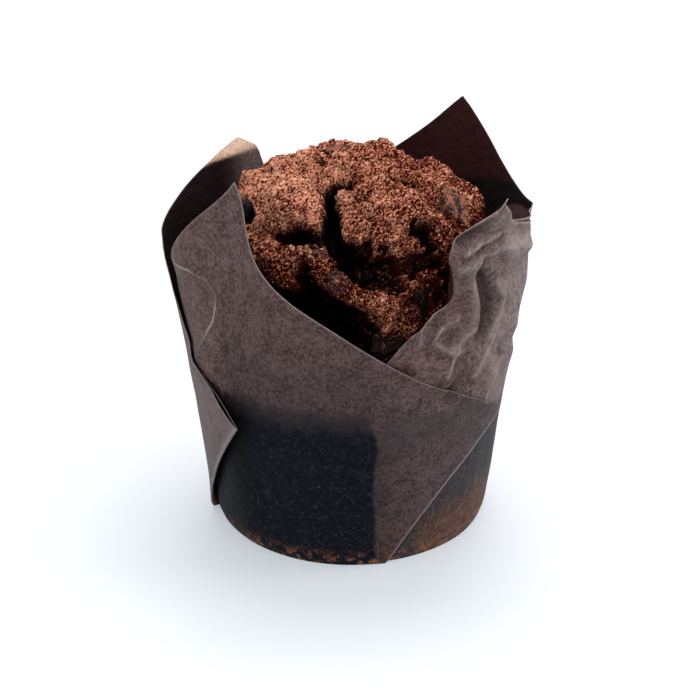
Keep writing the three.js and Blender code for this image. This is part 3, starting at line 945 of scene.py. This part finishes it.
def cake_finish():
    """Cocoa-dusted crust: pale grains with a painted highlight, painted shade between them, and loose
    crumbs in cracks darkened nearly black with painted shade.
    """
    material, place = new_finish("cocoa_crust", 0.9, Specular_IOR_Level=0.02, Coat_Roughness=0.2)
    pit, clump, wet = (place.mark(name) for name in ("pit", "clump", "wet"))
    across, _, up = (place.axis(index) for index in range(3))
    curl = place.noise(2.1, 2.0, 0.6)
    inputs = {0: place, 1: place.noise(1.5, 1.0)}
    grain = 0.75 - place.node("ShaderNodeVectorMath", inputs, {"operation": "ADD"}).cells(2.5)
    fine = place.noise(4.4, 2.0, 0.6)
    patch = place.noise(0.24, 3.0, 0.6)
    height = grain * 0.42 + curl * 0.63 + fine * 0.3

    # Pale dust lies on what stands high. Painted shade darkens the crown low down, less on a lit band
    # just right of its middle, and darkens it towards its right.
    low = up.step(64, 54)
    lit = across.step(-2, 3) * across.step(15, 10)
    shade = low * (0.15 - 0.12 * lit) + across.step(-16, 16) * 0.08
    light = height + clump * 0.1 + patch * 0.3 - shade + 0.03
    # Painted shade darkens the low places between the grains, and a painted highlight pales their tops,
    # over the cocoa dust.
    stops = ((0.0, (0.012, 0.0005, 0.0003)), (0.2, (0.085, 0.014, 0.007)), (0.45, (0.27, 0.098, 0.058)),
             (0.7, (0.4, 0.18, 0.118)), (1.0, (0.52, 0.28, 0.2)))
    dust_and_painted_light_red = light.node("ShaderNodeValToRGB", {0: light.step(0.52, 1.0)}, {"stops": stops})
    inputs = {0: 1.0, 6: dust_and_painted_light_red, 7: (1.02, 1.0, 0.9, 1)}
    settings = {"data_type": "RGBA", "blend_type": "MULTIPLY"}
    dust_and_painted_light_tan = dust_and_painted_light_red.node("ShaderNodeMix", inputs, settings, 2)
    dust = place.noise(0.5, 3.0, 0.7).step(0.4, 0.6).mix(dust_and_painted_light_tan, dust_and_painted_light_red)

    # Cracks are crumbly inside, painted nearly black with shade where deep, and hold loose crumbs in
    # clumps.
    crumb = light.step(0.7, 1.0).mix((0.01, 0.0008, 0.0005), (0.14, 0.045, 0.03))
    colour = pit.step(0.5, 1.8).mix(dust, crumb)
    # Painted shade: deep in the cracks the colour goes nearly black.
    painted_crack_shade = (pit + curl * 2.5 - 1.25).step(1.8, 3.4)
    colour = painted_crack_shade.mix(colour, (0.002, 0.0004, 0.0004))
    loose = (fine * 0.5 + curl * 0.5).step(0.53, 0.6) * place.noise(0.4, 2.0).step(0.47, 0.58)
    colour = (painted_crack_shade * loose * across.step(0, 4)).mix(colour, (0.26, 0.085, 0.055))

    # Wet spots, where chocolate has melted.
    spot = (wet.step(0.0, 0.5) * fine.step(0.45, 0.6)).at_most(0.75)
    colour = spot.mix(colour, (0.028, 0.012, 0.013))
    finish_socket(material, "Base Color", colour)
    finish_socket(material, "Coat Weight", spot * 0.3)
    finish_socket(material, "Normal", height.bump(1.0, 0.0006))
    return material


cake = new_piece("cake", cake_body(), cake_finish())
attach(cake, "root")
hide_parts("muffin")

# Chocolate chunks.
# Six broken pieces of dark chocolate that show in the crown. Each was stirred into the batter, so
# it is bedded in the crust, and its faces are snapped flat with softened edges.
CHUNK_CUTS = 9
CHUNK_SHRINK = 0.2
CAKE_MIDDLE = Vector((0, 0, 50))

# The look of each piece, and how much deeper than its node it is sunk into the crust.
CHUNKS = {
    1: ("dusted", 0.2),
    2: ("dusted", 0.4),
    3: ("dusted", 1.2),
    4: ("glossy", 0.2),
    5: ("dark", 0.5),
    6: ("dark", 0.2),
}


def chunk_body(name, sunk):
    """A snapped block that fills the space of its node, sunk into the crust, with uneven faces."""
    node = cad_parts[name]
    bm = bmesh.new()
    bm.from_mesh(node.data)
    bmesh.ops.remove_doubles(bm, verts=bm.verts, dist=1e-6)
    bmesh.ops.dissolve_limit(bm, angle_limit=0.02, verts=bm.verts, edges=bm.edges)
    bmesh.ops.subdivide_edges(bm, edges=bm.edges, cuts=CHUNK_CUTS, use_grid_fill=True)
    bmesh.ops.triangulate(bm, faces=bm.faces)
    bm.normal_update()
    low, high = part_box(name)
    middle = (Vector(low) + Vector(high)) / 2 / MM
    inward = (CAKE_MIDDLE - middle).normalized() * sunk
    moved = []
    for vert in bm.verts:
        place = vert.co / MM + middle
        rough = noise.noise(place / 2.4) * 1.0 + noise.noise(place / 0.9) * 0.35
        moved.append(vert.co + (vert.normal * (rough - CHUNK_SHRINK) + inward) * MM)
    for vert, place in zip(bm.verts, moved):
        vert.co = place
    bmesh.ops.smooth_vert(bm, verts=bm.verts, factor=0.5,
                          use_axis_x=True, use_axis_y=True, use_axis_z=True)
    smooth_skin(bm)
    return bm


def chocolate_finish(name, roughness, dust):
    """Dark chocolate with a share of its surface under pale cocoa dust."""
    material, place = new_finish(name, roughness, Specular_IOR_Level=0.03)
    grain = place.noise(1.9, 4.0, 0.7)
    patch = place.noise(0.6, 2.0)
    dusted = (grain * 0.6 + patch * 0.4).step(0.62 - dust * 0.22, 0.68 - dust * 0.22)
    pale = (0.06 * dust + 0.003, 0.036 * dust + 0.0015, 0.03 * dust + 0.0015)
    bloom = grain.step(0.3, 0.7).mix((0.002, 0.001, 0.001), pale)
    colour = dusted.mix(bloom, (0.17, 0.06, 0.036))
    finish_socket(material, "Base Color", colour)
    finish_socket(material, "Roughness", roughness + 0.4 * dusted)
    finish_socket(material, "Normal", grain.bump(0.7, 0.0004))
    return material


chocolate_looks = {
    "dusted": chocolate_finish("chocolate_dusted", 0.6, 0.6),
    "dark": chocolate_finish("chocolate_dark", 0.5, 0.2),
    "glossy": chocolate_finish("chocolate_glossy", 0.4, 0.0),
}
for number, (look, sunk) in CHUNKS.items():
    node_name = f"chocolate_chunk_{number}"
    chunk = new_piece(f"chocolate_{number}", chunk_body(node_name, sunk), chocolate_looks[look])
    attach(chunk, "root")
    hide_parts(node_name)
